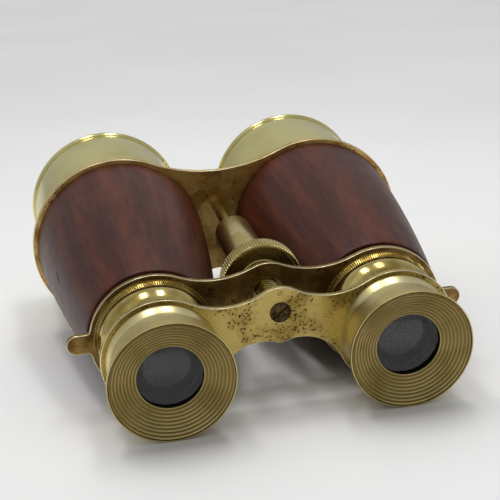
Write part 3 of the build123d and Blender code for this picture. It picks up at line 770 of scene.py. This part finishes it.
# Body tubes: the rolled sheet cones under the wood, black inside
bodyTubeLook = {"largeR": 24.48, "smallR": 16.48, "wall": 0.7, "steps": 128}


def bodyTube(side, look):
    node = side + "_body_tube"
    axis, _, foot, top = turnedSize(node)
    profile = [
        (look["largeR"] - look["wall"], foot), (look["largeR"], foot), (look["smallR"], top),
        (look["smallR"] - look["wall"], top),
    ]
    piece = lathe(side + "BodyTube", axis, profile, look["steps"])
    piece.data.materials.append(rolledBrass)
    paintFaces(piece, blackPaint, lambda spot, normal:
        (spot.x / mm - axis[0]) * normal.x + (spot.y / mm - axis[1]) * normal.y < 0)
    smooth()
    layDown(piece)
    standFor(piece, node, rolledBrass)


# Mahogany barrels: a bowed cone, thin at the eye end, eased where it meets the brass
barrelLook = {
    "smallR": 18.2, "smallBore": 16.66, "largeBore": 24.5, "swell": 0.9, "edge": 0.35,
    "steps": 224, "rings": 28,
}


def woodBarrel(side, look):
    node = side + "_wood_barrel"
    axis, largeR, foot, top = turnedSize(node)
    skin = bowed((largeR, foot), (look["smallR"], top), look["swell"], look["rings"])
    profile = [(look["smallBore"], top), (look["largeBore"], foot), *skin]
    piece = lathe(side + "WoodBarrel", axis, profile, look["steps"], look["edge"])
    smooth()
    layDown(piece)
    standFor(piece, node, mahoganyWood)


# Objective cells: blackened ring with fine steps down to the glass
cellLook = {
    "lipR": 21.6, "seatR": 22.5, "seatZ": 10.26, "ribs": 3, "ribDepth": 0.3, "ribBand": 1.5,
    "edge": 0.06, "steps": 192,
}


def objectiveCell(side, look):
    node = side + "_objective_cell"
    axis, radius, foot, top = turnedSize(node)
    pitch = look["ribBand"] / look["ribs"]
    face = []
    for i in range(look["ribs"]):
        start = look["lipR"] + 0.2 + i * pitch
        valley = foot + look["ribDepth"]
        face += [(start, foot), (start + 0.2, valley), (start + 0.3, valley)]
    profile = [
        (look["lipR"], look["seatZ"]), (look["lipR"], foot + 0.3), *face, (radius, foot),
        (radius, top), (look["seatR"], top), (look["seatR"], look["seatZ"]),
    ]
    piece = lathe(side + "ObjectiveCell", axis, profile, look["steps"], look["edge"])
    smooth()
    layDown(piece)
    standFor(piece, node, blackenedBrass)


# Lenses: each pair of objective glasses, and the hollow eye lens; the ground rims are inked
lensLook = {
    "crownFront": 72.0, "cement": 70.0, "flintCentre": 1.8, "eye": 45.0,
    "edge": 0.12, "steps": 160,
}


def lens(side, kind, look):
    node = side + "_" + kind + "_lens"
    axis, radius, foot, top = turnedSize(node)
    if kind == "crown":
        front = lensFace(look["crownFront"], radius, foot)
        back = lensFace(-look["cement"], radius, top)
    elif kind == "flint":
        front = lensFace(-look["cement"], radius, top - look["flintCentre"])
        back = [(0.0, top), (radius, top)]
    else:
        dip = look["eye"] - sqrt(look["eye"] ** 2 - radius ** 2)
        front = lensFace(-look["eye"], radius, foot + dip)
        back = lensFace(look["eye"], radius, top - dip)
    profile = front + back[::-1]
    piece = lathe(side + kind.title() + "Lens", axis, profile, look["steps"], look["edge"], False)
    piece.data.materials.append(opticalGlass)
    paintFaces(piece, blackPaint, lambda spot, normal: fromAxis(spot, axis) > radius - 0.02)
    smooth()
    layDown(piece)
    standFor(piece, node, opticalGlass)


for side in sides:
    eyecup(side, eyecupLook)
    collar(side, collarLook)
    drawTube(side, drawTubeLook)
    objectiveTube(side, objectiveTubeLook)
    bodyTube(side, bodyTubeLook)
    woodBarrel(side, barrelLook)
    objectiveCell(side, cellLook)
    for kind in ("crown", "flint", "eye"):
        lens(side, kind, lensLook)
print("barrels turned")


# Plates, nut and screw: eased edges, rubbed bright on the plates
plateLook = {"edge": 0.2, "segments": 3}


def easedCopy(name, node, look, material, edgeMaterial, fixing=None):
    # every sharp edge is eased; painted shadow goes in the one round a fixing, as dark brass round
    # the screw hole
    piece = copyNode(name, node)
    piece.data.materials.append(material)
    piece.data.materials.append(edgeMaterial)
    bpy.ops.object.mode_set(mode="EDIT")
    bpy.ops.mesh.select_mode(type="EDGE")
    bpy.ops.mesh.select_all(action="DESELECT")
    bpy.ops.mesh.edges_select_sharp(sharpness=radians(50))
    bpy.ops.mesh.bevel(
        offset=look["edge"] * mm, segments=look["segments"], affect="EDGES",
        clamp_overlap=False, material=1,
    )
    if fixing:
        axis, radius = turnedSize(fixing)[:2]
        toBench = bench.inverted()
        # painted shadow: the dark ring round the screw
        paintFaces(piece, knurlDirt, lambda spot, normal:
            fromAxis(toBench @ spot, axis) < radius + 0.6
            and 0.05 < abs((toBench.to_3x3() @ normal).z) < 0.99)
    smooth()
    modifier = piece.modifiers.new("flatFaces", "WEIGHTED_NORMAL")
    modifier.keep_sharp = True
    bpy.ops.object.modifier_apply(modifier=modifier.name)
    standFor(piece, node, material)
    return piece


easedCopy("eyepieceBridge", "eyepiece_bridge", plateLook, castBrass, wornEdge, "bridge_screw")
easedCopy("eyepieceEndPlate", "eyepiece_end_plate", plateLook, brownedBrass, wornEdge)
easedCopy("objectiveEndPlate", "objective_end_plate", plateLook, goldenBrass, wornEdge)
fixingLook = {"edge": 0.12, "segments": 3}
easedCopy("bridgeScrew", "bridge_screw", fixingLook, bluedSteel, bluedSteel)
easedCopy("spindleNut", "spindle_nut", fixingLook, wheelBrass, wheelBrass)
print("plates and fixings eased")


# Focus wheel: straight knurled rim between chamfers, shallow dished faces
wheelLook = {
    "bore": 5.02, "chamfer": 0.35, "rimWidth": 1.1, "hubR": 6.6, "dish": 0.25,
    "ridges": 84, "columns": 4, "ridgeDepth": 0.3, "edge": 0.08,
}


def focusWheel(look):
    axis, radius, foot, top = turnedSize("focus_wheel")
    chamfer, dish, rim = look["chamfer"], look["dish"], radius - look["rimWidth"]
    profile = [
        (look["bore"], foot), (look["hubR"], foot), (look["hubR"] + dish, foot + dish),
        (rim - dish, foot + dish), (rim, foot), (radius - chamfer, foot),
        (radius, foot + chamfer), (radius, top - chamfer), (radius - chamfer, top), (rim, top),
        (rim - dish, top - dish), (look["hubR"] + dish, top - dish), (look["hubR"], top),
        (look["bore"], top),
    ]
    piece = lathe("focusWheel", axis, profile, look["ridges"] * look["columns"], look["edge"])
    knurl(
        piece, axis, (radius, radius), (foot + chamfer / 2, top - chamfer / 2), look["ridges"],
        look["columns"], look["ridgeDepth"],
    )
    smooth(30)
    layDown(piece)
    standFor(piece, "focus_wheel", wheelBrass)


# Sleeve: long turned tube with a cut line behind the wheel
sleeveLook = {
    "bore": 3.16, "journalBore": 1.45, "seatR": 5.0, "noseR": 4.6, "floor": 4.0,
    "tail": 34.0, "seat": 5.0, "lineWidth": 0.5, "lineDepth": 0.45, "edge": 0.3, "steps": 128,
}


def wheelSleeve(look):
    axis, radius, foot, top = turnedSize("wheel_sleeve")
    wheelZ = foot + look["tail"]
    lineR = radius - look["lineDepth"]
    profile = [
        (look["journalBore"], foot), (radius, foot), (radius, wheelZ - look["lineWidth"]),
        (lineR, wheelZ - look["lineWidth"]), (lineR, wheelZ), (look["seatR"], wheelZ),
        (look["seatR"], wheelZ + look["seat"]), (look["noseR"], wheelZ + look["seat"]),
        (look["noseR"], top), (look["bore"], top), (look["bore"], foot + look["floor"]),
        (look["journalBore"], foot + look["floor"]),
    ]
    piece = lathe("wheelSleeve", axis, profile, look["steps"], look["edge"])
    smooth()
    layDown(piece)
    standFor(piece, "wheel_sleeve", wheelBrass)


# Spindle: plain rod from the front plate, with the journal that the sleeve turns on
spindleLook = {
    "tailR": 1.5, "journalR": 1.4, "journal": 4.2, "holeR": 0.72, "holeDepth": 3.0,
    "edge": 0.12, "steps": 96,
}


def spindle(look):
    axis, radius, foot, top = turnedSize("spindle")
    plateTop = benchBox("objective_end_plate")[1].z
    shoulder = top - look["journal"]
    profile = [
        (0.0, foot), (look["tailR"], foot), (look["tailR"], plateTop), (radius, plateTop),
        (radius, shoulder), (look["journalR"], shoulder), (look["journalR"], top),
        (look["holeR"], top), (look["holeR"], top - look["holeDepth"]),
        (0.0, top - look["holeDepth"]),
    ]
    piece = lathe("spindleRod", axis, profile, look["steps"], look["edge"], False)
    smooth()
    layDown(piece)
    standFor(piece, "spindle", wheelBrass)


washerLook = {"bore": 3.4, "edge": 0.1, "steps": 96}


def thrustWasher(look):
    axis, radius, foot, top = turnedSize("thrust_washer")
    profile = [(look["bore"], foot), (radius, foot), (radius, top), (look["bore"], top)]
    piece = lathe("thrustWasher", axis, profile, look["steps"], look["edge"])
    smooth()
    layDown(piece)
    standFor(piece, "thrust_washer", wheelBrass)


# Focus screw: quick thread of several starts, tapped at the top for the bridge screw
screwLook = {
    "starts": 6, "columns": 6, "lead": 8.0, "step": 0.25, "depth": 0.42, "plain": 5.5,
    "holeR": 1.52, "holeDepth": 7.5,
}


def focusScrew(look):
    axis, radius, foot, top = turnedSize("focus_screw")
    centre = (axis[0] * mm, axis[1] * mm, foot * mm)
    columns = look["starts"] * look["columns"]
    deselectAll()
    bpy.ops.mesh.primitive_circle_add(
        vertices=columns, radius=radius * mm, fill_type="NGON", location=centre
    )
    piece = bpy.context.object
    piece.name = piece.data.name = "focusScrew"
    bpy.ops.object.transform_apply(location=True, rotation=True, scale=True)
    selectParts(piece, "VERT", lambda v: v.index % look["columns"] >= look["columns"] / 2)
    share = (radius - look["depth"]) / radius
    bpy.ops.transform.resize(value=(share, share, 1), center_override=centre)
    bpy.ops.mesh.select_mode(type="FACE")
    bpy.ops.mesh.select_all(action="SELECT")
    threaded = top - look["plain"] - foot
    layers = int(threaded / look["step"])
    rise = threaded / layers * mm
    for _ in range(layers):
        bpy.ops.mesh.extrude_region_move(TRANSFORM_OT_translate={"value": (0, 0, rise)})
        bpy.ops.transform.rotate(
            value=2 * pi * rise / mm / look["lead"], orient_axis="Z", center_override=centre
        )
    bpy.ops.mesh.extrude_region_move(TRANSFORM_OT_translate={"value": (0, 0, look["plain"] * mm)})
    bpy.ops.mesh.inset(thickness=(radius - look["holeR"] - 0.3) * mm)
    bpy.ops.mesh.extrude_region_move(
        TRANSFORM_OT_translate={"value": (0, 0, -look["holeDepth"] * mm)}
    )
    bpy.ops.mesh.select_all(action="SELECT")
    bpy.ops.mesh.normals_make_consistent(inside=False)
    smooth()
    layDown(piece)
    standFor(piece, "focus_screw", wheelBrass)


focusWheel(wheelLook)
wheelSleeve(sleeveLook)
spindle(spindleLook)
thrustWasher(washerLook)
focusScrew(screwLook)
print("focus drive made")

# The CAD pieces that stay get their finish
finishOf = {
    "blackened_brass": blackenedBrass, "black_felt": blackFelt, "blued_steel": bluedSteel,
    "optical_glass": opticalGlass, "mahogany": mahoganyWood, "cast_brass": castBrass,
    "turned_brass": turnedBrass, "polished_brass": polishedBrass, "rolled_brass": rolledBrass,
}
for node, shown in nodes.items():
    shown.data.materials.clear()
    shown.data.materials.append(finishOf[slotOf[node]])
print("remaining nodes finished")


# Studio: pale table, soft daylight tent, and two narrow lamps for the sparkle on the domes
studioLook = {
    "floorSize": 12.0, "floor": "E9E8E7", "floorShade": "E4E3E2",
    "skyHigh": "F4F6F8", "skyLow": "E2E2E2", "skyNear": "8A8682", "skyStrength": 0.6,
    "unevenLow": 0.16, "unevenHigh": 0.55,
    "fill": {"at": (-0.1, 1.0, 2.2), "size": (3.0, 2.4), "power": 27.0, "colour": "FFFFFF"},
    "left": {"at": (-0.107, 0.05, 0.46), "size": (0.06, 0.24), "power": 0.42, "colour": "FFFFFF"},
    "right": {"at": (0.082, 0.05, 0.46), "size": (0.06, 0.24), "power": 0.42, "colour": "FFFFFF"},
}


def floor(look):
    deselectAll()
    bpy.ops.mesh.primitive_plane_add(size=look["floorSize"], location=(0, 0, 0))
    piece = bpy.context.object
    piece.name = "floor"
    bpy.ops.object.mode_set(mode="EDIT")
    bpy.ops.mesh.subdivide(number_cuts=8)
    bpy.ops.object.mode_set(mode="OBJECT")
    material, tree, shader = newMaterial("tablePaper")
    place = tree.nodes.new("ShaderNodeTexCoord").outputs["Object"]
    mottle = add(tree, "TexNoise", {"Vector": place, "Scale": 5.0, "Detail": 3})
    colour = ramp(tree, mottle, [(0.35, look["floorShade"]), (0.65, look["floor"])])
    setShader(tree, shader, Base_Color=colour, Roughness=0.6)
    shader.inputs["Specular IOR Level"].default_value = 0.25
    piece.data.materials.append(material)


def sky(look):
    world = bpy.data.worlds.new("tent")
    bpy.context.scene.world = world
    world.use_nodes = True
    tree = world.node_tree
    ground = next(n for n in tree.nodes if n.type == "BACKGROUND")
    way = tree.nodes.new("ShaderNodeTexCoord").outputs["Generated"]
    parts = tree.nodes.new("ShaderNodeSeparateXYZ")
    tree.links.new(way, parts.inputs[0])
    height = band(tree, parts.outputs["Z"], -0.1, 0.8)
    colour = blend(tree, height, srgb(look["skyLow"]), srgb(look["skyHigh"]))
    near = band(tree, parts.outputs["Y"], -0.2, -0.9)  # the tent is open and dim at the eyecups
    dim = maths(tree, "MULTIPLY", near, band(tree, parts.outputs["Z"], 0.75, 0.2))
    colour = blend(tree, dim, colour, srgb(look["skyNear"]))
    patches = add(tree, "TexNoise", {"Vector": way, "Scale": 1.7, "Detail": 1})  # folds of cloth
    contrast = band(tree, parts.outputs["Z"], 0.45, 0.8, look["unevenLow"], look["unevenHigh"])
    folds = maths(tree, "MULTIPLY_ADD", band(tree, patches, 0.35, 0.65, -0.55, 0.45), contrast, 1)
    colour = add(
        tree, "Mix", {"Factor": 1.0, "A": colour, "B": folds},
        data_type="RGBA", blend_type="MULTIPLY",
    )
    tree.links.new(colour, ground.inputs["Color"])
    ground.inputs["Strength"].default_value = look["skyStrength"]


def lamp(name, look):  # a soft rectangular lamp that faces the glasses
    bpy.ops.object.light_add(type="AREA", location=look["at"])
    light = bpy.context.object
    light.name = name
    light.data.shape = "RECTANGLE"
    light.data.size, light.data.size_y = look["size"]
    light.data.energy = look["power"]
    light.data.color = srgb(look["colour"])[:3]
    x, y, z = look["at"]
    light.rotation_euler = (-atan2(y, z), atan2(x, z), 0)  # long side stays along Y
    return light


floor(studioLook)
sky(studioLook)
lamp("fillLamp", studioLook["fill"]).visible_glossy = False
lamp("leftLamp", studioLook["left"])
lamp("rightLamp", studioLook["right"])
print("studio set")
